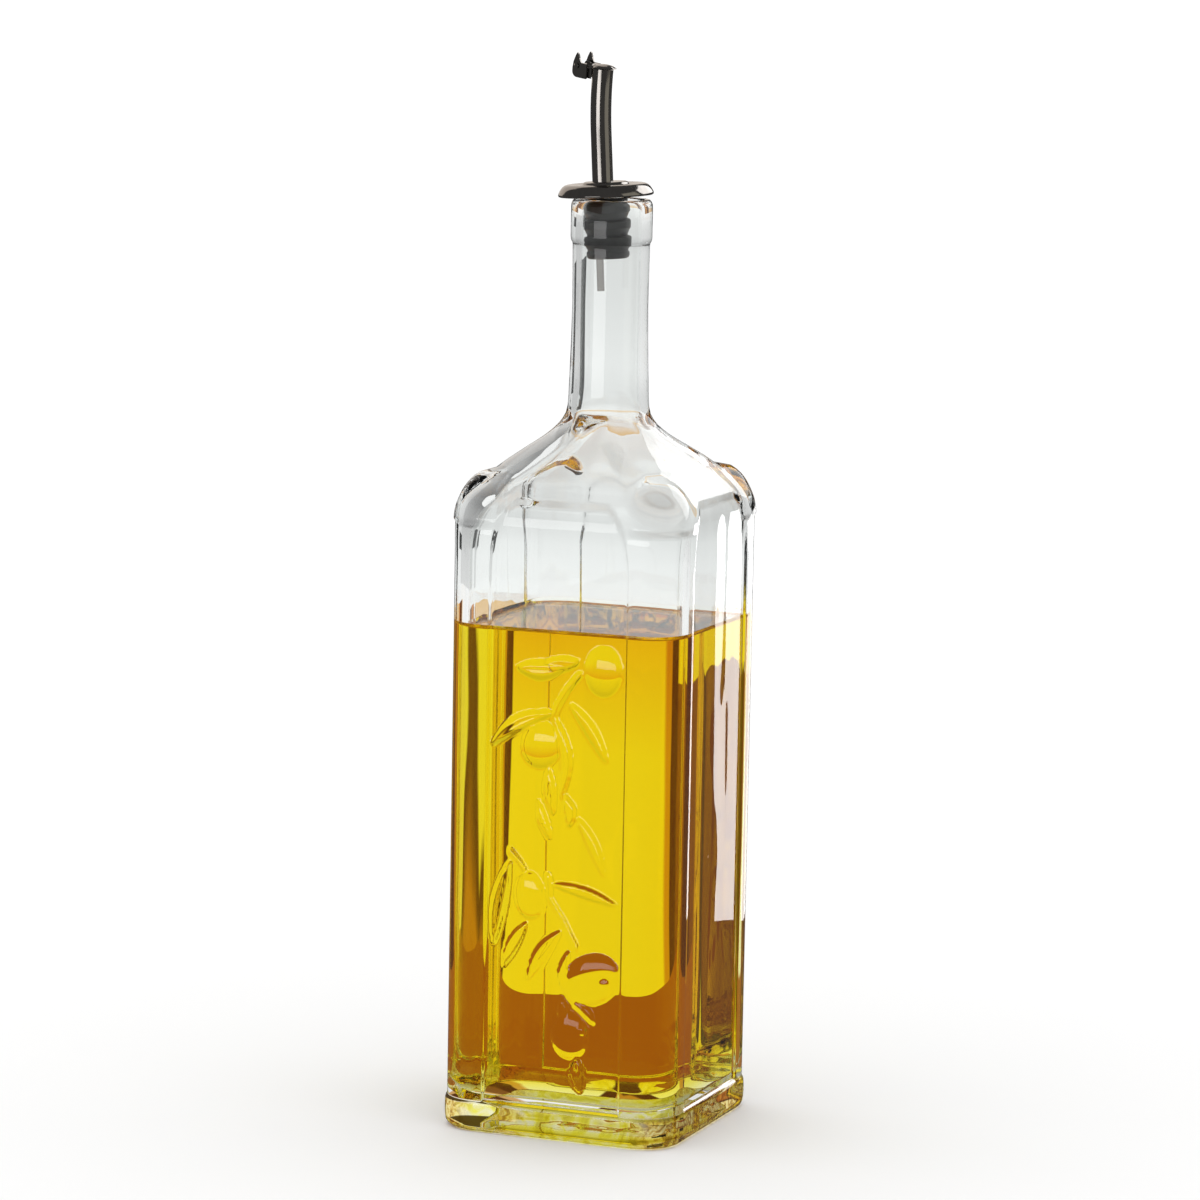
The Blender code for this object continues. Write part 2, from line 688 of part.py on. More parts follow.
def add_flap(parts, cutters, metal, head):
    """Domed disc over the mouth, a plate back to the hinge, and a lug on each side of it."""
    hinge = bpy.data.objects.new("flap_axis", None)
    parts.objects.link(hinge)
    hinge.parent = head
    hinge.location = (PIN_X, 0.0, PIN_Z)
    dome = ((0.0, 1.5), (1.6, 1.4), (2.8, 1.1), (3.7, 0.65), (4.0, 0.4), (3.9, 0.3), (0.0, 0.3))
    flap = turned("flap", [(radius * MM, height * MM) for radius, height in dome], parts, metal, hinge, steps=28)
    flap.location = (DISC_FORWARD - PIN_X, 0.0, -PIN_Z)
    width = LUG_INNER + SHEET / 2
    strap = block("flap_strap", (-6.2 * MM, -width, 0.35 * MM), (-2.0 * MM, width, 0.85 * MM), cutters, None, head)
    combine(flap, strap, "UNION")
    for name, side in (("flap_lug_near", -1), ("flap_lug_far", 1)):
        lug = side_plate(name, lug_outline(), LUG_INNER, side, cutters, None, head)
        combine(flap, lug, "UNION")
    combine(flap, pin_hole("flap_pin_hole", cutters, head), "DIFFERENCE")
    return flap


def add_pourer(parts, cutters, steel, rubber):
    pourer = bpy.data.objects.new("pourer", None)
    parts.objects.link(pourer)
    aside = Vector((math.cos(LEAN_HEADING), math.sin(LEAN_HEADING), 0.0))
    tip_axis = Vector((0.0, 0.0, 1.0)).cross(aside)
    seat = Matrix.Translation(aside * SHIFT + Vector((0.0, 0.0, LIP_TOP + SEAT_RISE)))
    lean = Matrix.Rotation(LEAN, 4, tip_axis)
    pourer.matrix_basis = seat @ lean @ Matrix.Rotation(SPOUT_HEADING, 4, "Z")
    add_bored("stopper", stopper_profile(), parts, cutters, rubber, pourer)
    add_bored("cap", cap_profile(), parts, cutters, steel, pourer)
    add_spout(parts, cutters, steel, pourer)
    add_air_tube(parts, cutters, steel, pourer)
    head = bpy.data.objects.new("spout_mouth", None)
    parts.objects.link(head)
    head.parent = pourer
    swing = SPOUT_BENT_LENGTH / SPOUT_BEND
    head.matrix_basis = Matrix.Translation(spout_path(0.0)[-1]) @ Matrix.Rotation(swing, 4, "Y")
    add_bracket(parts, cutters, steel, head, pourer)
    add_pin(parts, steel, head)
    add_flap(parts, cutters, steel, head)


def main():
    clear_scene()
    parts = new_collection("oil_cruet")
    cutters = new_collection("cutters")
    glass = new_material("clear_glass", (0.96, 0.98, 0.97), 0.0, 0.02, transmission=1.0, ior=1.5)
    oil = new_material("olive_oil", (0.85, 0.62, 0.02), 0.0, 0.02, transmission=0.9, ior=1.47)
    steel = new_material("polished_steel", (0.45, 0.43, 0.41), 1.0, 0.18)
    rubber = new_material("black_rubber", (0.02, 0.02, 0.022), 0.0, 0.5)
    add_bottle(parts, glass)
    add_oil(parts, oil)
    add_pourer(parts, cutters, steel, rubber)


main()
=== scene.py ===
import math

import bpy
import numpy as np
from mathutils import Matrix, Vector


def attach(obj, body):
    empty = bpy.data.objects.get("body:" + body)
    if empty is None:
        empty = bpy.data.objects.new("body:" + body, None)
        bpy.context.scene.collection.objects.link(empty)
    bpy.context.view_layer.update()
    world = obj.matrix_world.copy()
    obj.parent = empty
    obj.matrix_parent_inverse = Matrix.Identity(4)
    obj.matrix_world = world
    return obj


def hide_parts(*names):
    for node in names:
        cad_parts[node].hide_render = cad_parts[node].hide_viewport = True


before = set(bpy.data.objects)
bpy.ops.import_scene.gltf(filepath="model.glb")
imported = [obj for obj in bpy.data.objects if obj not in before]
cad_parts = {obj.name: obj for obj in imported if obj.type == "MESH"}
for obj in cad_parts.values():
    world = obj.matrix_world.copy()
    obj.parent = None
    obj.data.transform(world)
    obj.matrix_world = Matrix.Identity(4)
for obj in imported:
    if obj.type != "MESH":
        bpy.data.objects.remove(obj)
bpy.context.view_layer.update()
mm = 0.001


# small helpers
def hexColor(text):
    # sRGB hex to linear RGBA
    channels = [int(text[i:i + 2], 16) / 255 for i in (1, 3, 5)]
    linear = [c / 12.92 if c <= 0.04045 else ((c + 0.055) / 1.055) ** 2.4 for c in channels]
    return (*linear, 1.0)


def addNode(tree, kind, settings=None, links=None):
    # settings go to the node or to its sockets, links are {socket: output}
    node = tree.nodes.new(kind)
    for key, value in (settings or {}).items():
        if isinstance(key, str) and hasattr(node, key) and key not in node.inputs:
            setattr(node, key, value)
        else:
            node.inputs[key].default_value = value
    for key, output in (links or {}).items():
        tree.links.new(output, node.inputs[key])
    return node


def newMaterial(name):
    material = bpy.data.materials.new(name)
    material.use_nodes = True
    tree = material.node_tree
    return material, tree, tree.nodes["Principled BSDF"]


def rampNode(tree, fac, stops):
    node = addNode(tree, "ShaderNodeValToRGB", None, {"Fac": fac})
    elements = node.color_ramp.elements
    while len(elements) < len(stops):
        elements.new(0.5)
    for element, (position, color) in zip(elements, stops):
        element.position = position
        element.color = hexColor(color)
    return node


def mixColors(tree, fac, first, second, blend="MIX"):
    node = addNode(tree, "ShaderNodeMix", {"data_type": "RGBA", "blend_type": blend})
    for socket, value in ((node.inputs[0], fac), (node.inputs[6], first), (node.inputs[7], second)):
        if isinstance(value, bpy.types.NodeSocket):
            tree.links.new(value, socket)
        else:
            socket.default_value = value
    return node.outputs[2]


def deselectAll():
    if bpy.context.object and bpy.context.object.mode != "OBJECT":
        bpy.ops.object.mode_set(mode="OBJECT")
    bpy.ops.object.select_all(action="DESELECT")


def makeActive(item):
    deselectAll()
    item.select_set(True)
    bpy.context.view_layer.objects.active = item


def setMaterial(item, material):
    item.data.materials.clear()
    item.data.materials.append(material)


def meshFromGrid(name, points, closedEnds=True):
    # points is rows x columns x 3, each row a closed loop
    rows, columns = points.shape[:2]
    index = np.arange(rows * columns).reshape(rows, columns)
    low, high = index[:-1], index[1:]
    faces = np.stack([low, np.roll(low, -1, 1), np.roll(high, -1, 1), high], -1).reshape(-1, 4).tolist()
    if closedEnds:
        faces.append(index[0][::-1].tolist())
        faces.append(index[-1].tolist())
    mesh = bpy.data.meshes.new(name)
    mesh.from_pydata(points.reshape(-1, 3).tolist(), [], faces)
    item = bpy.data.objects.new(name, mesh)
    bpy.context.scene.collection.objects.link(item)
    makeActive(item)
    bpy.ops.object.mode_set(mode="EDIT")
    bpy.ops.mesh.select_all(action="SELECT")
    bpy.ops.mesh.normals_make_consistent(inside=False)
    bpy.ops.object.mode_set(mode="OBJECT")
    bpy.ops.object.shade_smooth()
    return item


def addAttribute(item, name, values):
    layer = item.data.attributes.new(name, "FLOAT", "POINT")
    layer.data.foreach_set("value", np.asarray(values, dtype=np.float32).ravel())


# the bottle's shape, in millimetres
bottleShape = {
    "half": 40.0,  # mm across the flats, halved
    "corner": 12.4,
    "wallHalf": 36.2,
    "wallCorner": 9.4,
    "floor": 11.0,
    "floorFillet": 8.0,
    "floorPunt": 2.4,
    "domeStart": 198.0,
    "domeHeight": 16.4,
    "panelHalf": 23.5,
    "panelBottom": 10.6,
    "panelTop": 205.0,
    "panelDepth": 1.0,
    "archWidth": 9.0,
    "archHeight": 22.0,
    "edgeSoftness": 0.8,
    "pressFrom": 9.0,  # the rings between these heights can be pressed
    "pressUpTo": 206.0,
    "sidesTop": 188.0,  # end of the straight sides
    "domeMelt": 0.9,  # how softly a dome runs into the shoulder
    "recessHalf": 28.0,
    "oilLevel": 163.5,
    "meniscus": 1.6,
    "intoWall": 0.1,  # how far the oil reaches into the glass
}
outerSections = np.array([  # height, half width, corner radius
    (188.0, 40.0, 12.4), (198.0, 40.0, 12.6), (203.0, 39.3, 13.4), (208.0, 36.4, 14.0), (212.0, 32.4, 12.8),
    (216.0, 28.0, 11.4), (220.0, 23.4, 12.2), (223.0, 19.8, 13.2), (225.5, 17.2, 13.6), (228.2, 15.2, 14.4),
    (231.5, 13.5, 13.5), (235.0, 13.0, 13.0), (241.0, 12.8, 12.8), (250.0, 12.5, 12.5), (265.0, 12.2, 12.2),
    (285.2, 12.4, 12.4),
])
innerSections = np.array([
    (188.0, 36.2, 9.4), (196.0, 36.1, 10.4), (202.0, 35.2, 12.4), (206.0, 33.0, 13.8), (210.0, 29.4, 14.0),
    (214.0, 25.0, 13.5), (218.0, 20.2, 13.0), (221.0, 16.6, 13.0), (224.0, 13.8, 12.6), (227.0, 12.1, 12.0),
    (231.0, 11.0, 11.0), (236.0, 10.2, 10.2), (243.0, 9.9, 9.9), (298.4, 9.9, 9.9),
])


def sectionAt(sections, height):
    # smooth curve through the named sections
    last = len(sections) - 1
    i = int(np.clip(np.searchsorted(sections[:, 0], height, side="right") - 1, 0, last - 1))
    before, low, high, after = sections[max(i - 1, 0)], sections[i], sections[i + 1], sections[min(i + 2, last)]
    span = high[0] - low[0]
    t = min(max((height - low[0]) / span, 0.0), 1.0)
    slopeLow = (high - before) / max(high[0] - before[0], 1e-9) * span
    slopeHigh = (after - low) / max(after[0] - low[0], 1e-9) * span
    value = (2 * t**3 - 3 * t**2 + 1) * low + (t**3 - 2 * t**2 + t) * slopeLow
    value = value + (3 * t**2 - 2 * t**3) * high + (t**3 - t**2) * slopeHigh
    return value[1], min(value[2], value[1])


def squareReach(angles, half, corner):
    turn = np.mod(angles, math.pi / 2)
    turn = np.minimum(turn, math.pi / 2 - turn)
    centre = half - corner
    along = centre * (np.cos(turn) + np.sin(turn))
    arc = along + np.sqrt(np.maximum(along**2 - 2 * centre**2 + corner**2, 0.0))
    return np.where(half * np.tan(turn) <= centre + 1e-9, half / np.cos(turn), arc)


def columnReach(angles, height):
    # the domes that end the corner columns
    rise = (height - bottleShape["domeStart"]) / bottleShape["domeHeight"]
    if not 0.0 <= rise < 1.0:
        return np.zeros_like(angles)
    axis = bottleShape["half"] - bottleShape["corner"]
    radius = bottleShape["corner"] * math.sqrt(1.0 - rise**2)
    turn = np.mod(angles, math.pi / 2)
    along = axis * (np.cos(turn) + np.sin(turn))
    inside = along**2 - 2 * axis**2 + radius**2
    return np.where(inside > 0, along + np.sqrt(np.maximum(inside, 0.0)), 0.0)


def ringPoints(angles, height, half, corner, domes=False):
    reach = squareReach(angles, half, corner)
    if domes:
        # a soft maximum, because fire-polished glass has no crease where the dome meets the shoulder
        dome = columnReach(angles, height)
        soft = bottleShape["domeMelt"]
        reach = np.where(dome > reach - 4, soft * np.logaddexp(reach / soft, np.maximum(dome, reach - 6) / soft), reach)
    return np.stack([reach * np.cos(angles), reach * np.sin(angles), np.full_like(angles, height)], -1)


# the embossed olive branch, as heights over the front panel
branch = {
    "oliveRise": 1.3,
    "leafRise": 0.95,
    "stemRise": 0.6,
    "stemHalf": 0.9,
    "buttonRise": 0.3,
    "veinDepth": 0.3,
    "veinWidth": 0.5,
    "from": 14.0,
    "upTo": 163.0,
    "olives": [  # across, up, half width, half length, turn in degrees
        (15.6, 153.3, 6.2, 7.9, 0), (-5.4, 128.2, 6.9, 7.5, 20), (-8.5, 79.2, 5.5, 7.9, -6),
        (13.1, 53.7, 7.8, 10.4, 60), (6.2, 34.9, 6.7, 7.8, 0),
    ],
    "buttons": [(-4.4, 81.6, 1.5), (18.2, 52.4, 1.9), (10.9, 37.1, 1.8)],  # stalk ends on three olives
    "leaves": [  # foot, tip, half width, sideways bow
        ((1.6, 152.9), (-13.9, 152.6), 3.1, 0.4), ((-4.3, 154.9), (7.3, 155.8), 2.2, -0.6),
        ((-1.3, 139.0), (-22.6, 127.0), 2.6, -2.0), ((4.4, 142.4), (17.4, 124.0), 2.0, 1.0),
        ((-0.9, 137.6), (2.0, 111.5), 2.2, 2.6), ((-2.6, 121.1), (-0.9, 106.0), 1.9, -0.4),
        ((3.0, 112.8), (4.8, 102.3), 2.0, 1.2), ((-5.9, 110.0), (-1.5, 98.0), 1.7, -0.6),
        ((7.6, 105.8), (16.9, 87.6), 2.0, 0.8), ((-15.4, 89.9), (-20.6, 62.0), 3.0, -1.0),
        ((-1.1, 83.6), (21.8, 78.4), 1.8, 0.8), ((-9.0, 70.6), (-17.1, 55.5), 2.4, -0.6),
        ((2.5, 68.7), (-8.6, 51.4), 2.5, -1.2), ((5.7, 63.0), (8.1, 45.2), 2.0, -3.2),
        ((3.4, 47.4), (5.0, 36.5), 2.2, -0.3), ((7.2, 45.6), (14.6, 39.6), 1.8, 0.9),
        ((8.8, 28.2), (10.0, 16.3), 2.6, -0.4),
    ],
    "stems": [
        ((7.3, 151.6), (3.4, 146.6), (0.3, 141.4), (-1.1, 137.6), (1.4, 132.0), (2.9, 124.0)),
        ((-15.4, 93.3), (-12.6, 90.6), (-10.2, 87.6)),
        ((-2.2, 86.0), (-1.6, 79.0), (3.8, 71.3), (8.2, 63.4)),
    ],
}


def branchHeight(across, up):
    height = np.zeros_like(across)
    for x, z, wide, tall, turn in branch["olives"]:
        swing = math.radians(turn)
        dx, dz = across - x, up - z
        a = dx * math.cos(swing) - dz * math.sin(swing)
        b = dx * math.sin(swing) + dz * math.cos(swing)
        inside = 1 - (a / wide) ** 2 - (b / tall) ** 2
        height = np.maximum(height, branch["oliveRise"] * np.maximum(inside, 0) ** 0.6)
    for x, z, radius in branch["buttons"]:
        inside = 1 - ((across - x) ** 2 + (up - z) ** 2) / radius**2
        height = height + branch["buttonRise"] * np.maximum(inside, 0) ** 0.7
    for foot, tip, halfWidth, bow in branch["leaves"]:
        foot, tip = np.array(foot), np.array(tip)
        length = np.linalg.norm(tip - foot)
        ahead = (tip - foot) / length
        side = np.array([-ahead[1], ahead[0]])
        along = ((across - foot[0]) * ahead[0] + (up - foot[1]) * ahead[1]) / length
        off = (across - foot[0]) * side[0] + (up - foot[1]) * side[1]
        t = np.clip(along, 0, 1)
        swell = np.sin(math.pi * t)
        off = off - bow * swell
        width = halfWidth * np.maximum(swell, 1e-6) ** 0.8
        inside = np.where((along > 0) & (along < 1), 1 - (off / width) ** 2, 0)
        vein = 1 - branch["veinDepth"] * np.exp(-((off / branch["veinWidth"]) ** 2))
        height = np.maximum(height, branch["leafRise"] * np.maximum(inside, 0) ** 0.6 * vein)
    for points in branch["stems"]:
        for start, end in zip(points, points[1:]):
            start, end = np.array(start), np.array(end)
            span = end - start
            t = ((across - start[0]) * span[0] + (up - start[1]) * span[1]) / (span @ span)
            t = np.clip(t, 0, 1)
            gap = np.hypot(across - start[0] - span[0] * t, up - start[1] - span[1] * t)
            inside = np.maximum(1 - (gap / branch["stemHalf"]) ** 2, 0)
            height = np.maximum(height, branch["stemRise"] * inside ** 0.6)
    return height


def panelShare(across, up):
    # 1 inside the arched panel, 0 outside it, with a soft edge
    shape = bottleShape
    straight = np.minimum(shape["panelHalf"] - np.abs(across), up - shape["panelBottom"])
    straight = np.minimum(straight, shape["panelTop"] - up)
    px = np.maximum(np.abs(across) - (shape["panelHalf"] - shape["archWidth"]), 0) / shape["archWidth"]
    pz = np.maximum(up - (shape["panelTop"] - shape["archHeight"]), 0) / shape["archHeight"]
    reach = np.sqrt(px**2 + pz**2)
    slope = np.sqrt((px / shape["archWidth"]) ** 2 + (pz / shape["archHeight"]) ** 2) / np.maximum(reach, 1e-6)
    corner = np.where((px > 0) & (pz > 0), (1 - reach) / np.maximum(slope, 1e-6), 99.0)
    t = np.clip(np.minimum(straight, corner) / shape["edgeSoftness"] + 0.5, 0, 1)
    return t * t * (3 - 2 * t)


def bottleAngles():
    shape = bottleShape
    edge = [22.2, 22.9, 23.25, 23.5, 23.75, 24.1, 25.5, 27.6]
    front = list(np.arange(-21.45, 21.5, 0.65))
    others = [0, 5, 9, 12.5, 14, 15, 16, 17, 18, 19, 20, 21]
    frontFlat = sorted([-v for v in edge] + front + edge)
    otherFlat = sorted({-v for v in others + edge} | set(others + edge))
    angles = []
    centre = shape["half"] - shape["corner"]
    for side in range(4):
        flat = frontFlat if side == 3 else otherFlat  # side 3 looks along -Y
        angles += [side * math.pi / 2 + math.atan2(v, shape["half"]) for v in flat]
        for k in range(1, 12):
            swing = math.pi / 2 * k / 12
            angles.append(
                side * math.pi / 2
                + math.atan2(centre + shape["corner"] * math.sin(swing), centre + shape["corner"] * math.cos(swing))
            )
    return np.array(angles)


def pressPanels(ring, angles, height):
    # sinks the panels and raises the branch on a ring of the straight sides
    if not bottleShape["pressFrom"] < height < bottleShape["pressUpTo"]:
        return ring
    for side in range(4):
        swing = side * math.pi / 2
        outward = np.array([math.cos(swing), math.sin(swing)])
        along = np.array([-math.sin(swing), math.cos(swing)])
        away = np.abs(np.mod(angles - swing + math.pi, 2 * math.pi) - math.pi) < math.pi / 4 - 0.05
        across = ring[:, 0] * along[0] + ring[:, 1] * along[1]
        up = np.full_like(across, height)
        depth = bottleShape["panelDepth"] - 0.4 * np.clip((height - 194) / 10, 0, 1)  # shallower under the arch
        push = -depth * panelShare(across, up)
        if side == 3 and branch["from"] < height < branch["upTo"]:
            push = push + branchHeight(across, up) * panelShare(across, up)
        push = np.where(away, push, 0)
        ring[:, 0] += push * outward[0]
        ring[:, 1] += push * outward[1]
    return ring


def floorRings(angles, lift=0.0, swell=0.0):
    # from the middle of the floor outwards and up the fillet
    shape = bottleShape
    rings = []
    edge = shape["wallHalf"] - shape["floorFillet"]
    for share in (0.04, 0.15, 0.3, 0.45, 0.6, 0.75, 0.88):
        rise = shape["floorPunt"] * (1 - share**2)
        rings.append(ringPoints(angles, shape["floor"] + rise + lift, edge * share, edge * share * 0.4))
    for k in range(11):
        swing = math.pi / 2 * k / 10
        pull = shape["floorFillet"] * (1 - math.sin(swing))
        height = shape["floor"] + shape["floorFillet"] * (1 - math.cos(swing)) + lift * math.cos(swing)
        wide = swell * math.sin(swing)
        half = shape["wallHalf"] - pull + wide
        rings.append(ringPoints(angles, height, half, max(shape["wallCorner"] - pull, 1.5) + wide))
    return rings


def buildBottle():
    # operators can't give optical glass with a different section at each height, so its rings are written out
    angles = bottleAngles()
    shape = bottleShape
    rings = []
    recess = shape["recessHalf"]
    for height, half, corner in (
        (1.3, 1.2, 0.8), (1.3, 8, 4), (1.3, 18, 7), (1.25, recess - 2, 8.5), (1.0, recess, 9.0),
        (0.35, recess + 1.4, 9.6), (0.0, recess + 2.2, 10.0), (0.0, 37.6, 12.2), (0.12, 38.6, 12.4),
        (0.5, 39.4, 12.5), (1.1, 39.95, 12.5),
        (2.0, 40.3, 12.4), (3.4, 40.45, 12.3), (5.5, 40.5, 12.2), (7.6, 40.48, 12.2), (9.0, 40.42, 12.2),
        (9.7, 40.3, 12.3), (10.1, 40.1, 12.4),
    ):
        rings.append(ringPoints(angles, height, half, corner))
    heights = [10.4, 10.6, 10.8, 11.1, 11.6, 12.6, 13.8]
    heights += list(np.arange(15.0, 162.5, 0.65)) + [164, 168, 174, 180, 183]
    heights += list(np.arange(184.5, 226.5, 1.25)) + [227.5, 229, 231, 233.5, 237, 241, 247, 255, 265, 275, 283]
    for height in heights:
        half, corner = (shape["half"], shape["corner"])
        if height > shape["sidesTop"]:
            half, corner = sectionAt(outerSections, height)
        ring = ringPoints(angles, height, half, corner, domes=height > shape["domeStart"])
        rings.append(pressPanels(ring, angles, height))
    for height, radius in (
        (285.2, 12.4), (285.9, 12.5), (286.4, 12.8), (287.0, 13.0), (288.0, 13.1), (297.4, 13.1), (298.4, 13.0),
        (299.2, 12.7), (299.8, 12.2), (300.0, 11.6), (299.95, 11.0), (299.7, 10.4), (299.1, 10.05), (298.4, 9.9),
    ):
        rings.append(ringPoints(angles, height, radius, radius))
    inner = [290, 280, 270, 262, 256, 250, 246, 243, 240, 237.5, 235, 233, 231, 229, 227, 225, 223, 221, 219, 217]
    inner += [215, 213, 211, 209, 207, 205, 203, 201, 199, 197, 195, 192, 188, 175]
    inner += [165.15, 165.05, 130, 105, 80, 55, 35]  # the close pair holds the edge of the wetted wall
    for height in inner:
        half, corner = (shape["wallHalf"], shape["wallCorner"])
        if height > shape["sidesTop"]:
            half, corner = sectionAt(innerSections, height)
        rings.append(ringPoints(angles, height, half, corner))
    rings += list(reversed(floorRings(angles)))
    rings = np.array(rings)
    item = meshFromGrid("glassBottle", rings * mm)
    # where oil wets the wall there is no air between them, so the wall's inside neither bends nor mirrors light
    inside = np.zeros(rings.shape[:2])
    inside[len(rings) - len(inner) - len(floorRings(angles)):] = 1
    wet = inside * (rings[:, :, 2] < shape["oilLevel"] + shape["meniscus"])
    addAttribute(item, "wetted", wet)
    return item


def buildOil():
    # reaches just into the wall, and climbs it in a small meniscus
    angles = bottleAngles()
    shape = bottleShape
    into, level = shape["intoWall"], shape["oilLevel"]
    rings = floorRings(angles, -into, into)
    half, corner = shape["wallHalf"] + into, shape["wallCorner"] + into
    for height in (30, 60, 100, 140, level - 2, level + 1.0, level + shape["meniscus"]):
        rings.append(ringPoints(angles, height, half, corner))
    wallRings = len(rings)
    for inset, rise in ((0.15, 1.5), (0.35, 1.1), (0.7, 0.7), (1.2, 0.38), (2.0, 0.14), (3.2, 0.0)):
        rings.append(ringPoints(angles, level + rise, half - inset, corner - inset))
    for share in (0.8, 0.5, 0.2, 0.03):
        rings.append(ringPoints(angles, level, half * share, corner * share))
    item = meshFromGrid("oilFill", np.array(rings) * mm)
    top = np.zeros((len(rings), len(angles)))
    top[wallRings:] = 1
    addAttribute(item, "openTop", top)
    return item


glassBottle = buildBottle()
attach(glassBottle, "cruet")
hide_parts("bottle")
oilFill = buildOil()
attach(oilFill, "cruet")
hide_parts("oil")
print("bottle and oil done")


# the pourer
pourer = {
    "seat": (-0.001858, -0.000739, 0.3009),  # where the cap's underside crosses the pourer's own axis
    "leanTowards": 201.7,
    "lean": 3.0,
    "heading": -19.3,
    "capProfile": [  # radius and height in mm, from the middle of the underside round to the top
        (4.0, 0.25), (10.9, 0.25), (12.6, 0.2), (14.2, 0.0), (14.9, -0.02), (15.22, 0.15), (15.34, 0.5), (15.3, 0.85),
        (15.1, 1.3), (14.75, 2.0), (14.3, 2.65), (13.75, 3.2), (13.1, 3.6), (12.4, 3.8), (11.6, 3.85), (10.4, 3.75),
        (9.2, 3.6), (8.3, 3.52), (7.75, 3.58), (7.45, 3.8), (7.3, 4.1), (7.05, 4.38), (6.6, 4.55), (6.0, 4.6),
        (3.4, 4.6),
    ],
    "stopperFins": 3,
    "finPitch": 4.8,
    "finRadius": 7.7,
    "coreRadius": 6.5,
    "stopperLength": 19.9,
    "spoutPlace": (0.66, -2.08),
    "spoutRadius": 3.35,
    "spoutWall": 0.5,
    "spoutStraight": 20.0,
    "bendRadius": 120.0,
    "bendLength": 20.6,
    "airPlace": (-4.31, 0.76),
    "airRadius": 1.25,
    "airWall": 0.4,
    "airEnd": -30.6,
}


def growRings(name, profile, vertices, closed=True):
    # a circle, extruded and scaled from one ring of the profile to the next
    deselectAll()
    radius, height = profile[0]
    bpy.ops.mesh.primitive_circle_add(vertices=vertices, radius=radius * mm, fill_type="NOTHING", location=(0, 0, 0))
    item = bpy.context.object
    item.name = name
    item.data.transform(Matrix.Translation((0, 0, height * mm)))
    bpy.ops.object.mode_set(mode="EDIT")
    bpy.ops.mesh.select_all(action="SELECT")
    if closed:
        bpy.ops.mesh.edge_face_add()
    for nextRadius, nextHeight in profile[1:]:
        bpy.ops.mesh.extrude_region_move(TRANSFORM_OT_translate={"value": (0, 0, (nextHeight - height) * mm)})
        bpy.ops.transform.resize(value=(nextRadius / radius, nextRadius / radius, 1.0))
        radius, height = nextRadius, nextHeight
    return item


def finishPiece(item, smoothAngle=35):
    # recalculated normals, smooth shading, then the pourer's place in the neck
    if bpy.context.object.mode != "EDIT":
        makeActive(item)
        bpy.ops.object.mode_set(mode="EDIT")
    bpy.ops.mesh.select_all(action="SELECT")
    bpy.ops.mesh.normals_make_consistent(inside=False)
    bpy.ops.object.mode_set(mode="OBJECT")
    towards = math.radians(pourer["leanTowards"])
    lean = Matrix.Rotation(math.radians(pourer["lean"]), 4, Vector((-math.sin(towards), math.cos(towards), 0)))
    heading = Matrix.Rotation(math.radians(pourer["heading"]), 4, "Z")
    item.data.transform(Matrix.Translation(pourer["seat"]) @ lean @ heading)
    makeActive(item)
    bpy.ops.object.shade_smooth_by_angle(angle=math.radians(smoothAngle))


def buildCap():
    cap = growRings("steelCap", pourer["capProfile"], 96)
    finishPiece(cap)
    return cap


def buildStopper():
    core, fin, pitch = pourer["coreRadius"], pourer["finRadius"], pourer["finPitch"]
    profile = [(core + 0.3, -0.1), (core + 0.4, -0.3), (core + 0.4, -3.0)]
    for k in range(pourer["stopperFins"]):
        top = -3.2 - k * pitch
        profile += [(fin - 0.25, top + 0.02), (fin, top - 0.25), (fin, top - 0.9), (fin - 0.1, top - 2.2)]
        profile += [(fin - 0.5, top - 2.7), (core + 0.15, top - pitch + 0.9), (core, top - pitch + 0.4)]
    profile += [(core + 0.45, -17.9), (core + 0.4, -19.0), (core + 0.1, -19.6), (core - 0.4, -pourer["stopperLength"])]
    stopper = growRings("rubberStopper", profile, 72)
    finishPiece(stopper, 30)
    return stopper


def buildTube(name, radius, wall, place, heights, vertices, bent=False):
    tube = growRings(name, [(radius, height) for height in heights], vertices, closed=False)
    if bent:
        # the last ring is spun on through the bend
        bpy.ops.mesh.spin(steps=20, angle=-pourer["bendLength"] / pourer["bendRadius"],
                          center=(pourer["bendRadius"] * mm, 0, heights[-1] * mm), axis=(0, 1, 0))
    bpy.ops.mesh.select_all(action="SELECT")
    bpy.ops.mesh.normals_make_consistent(inside=False)
    bpy.ops.object.mode_set(mode="OBJECT")
    makeActive(tube)
    shell = tube.modifiers.new("wall", "SOLIDIFY")
    shell.thickness = wall * mm
    shell.offset = -1.0
    bpy.ops.object.modifier_apply(modifier="wall")
    tube.data.transform(Matrix.Translation((place[0] * mm, place[1] * mm, 0)))
    finishPiece(tube)
    return tube


def buildSpout():
    heights = (-pourer["stopperLength"] + 0.4, 3.0, 12.0, pourer["spoutStraight"])
    place = pourer["spoutPlace"]
    return buildTube("steelSpout", pourer["spoutRadius"], pourer["spoutWall"], place, heights, 56, bent=True)


def buildAirTube():
    heights = (pourer["airEnd"], -12.0, 5.1)
    return buildTube("steelAirTube", pourer["airRadius"], pourer["airWall"], pourer["airPlace"], heights, 32)


pourerPieces = {}
for build, nodeName, slotName in (
    (buildCap, "cap", "polished_steel"), (buildStopper, "stopper", "black_rubber"),
    (buildSpout, "spout", "polished_steel"), (buildAirTube, "air_tube", "polished_steel"),
):
    piece = build()
    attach(piece, "cruet")
    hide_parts(nodeName)
    pourerPieces[nodeName] = piece
print("pourer done")


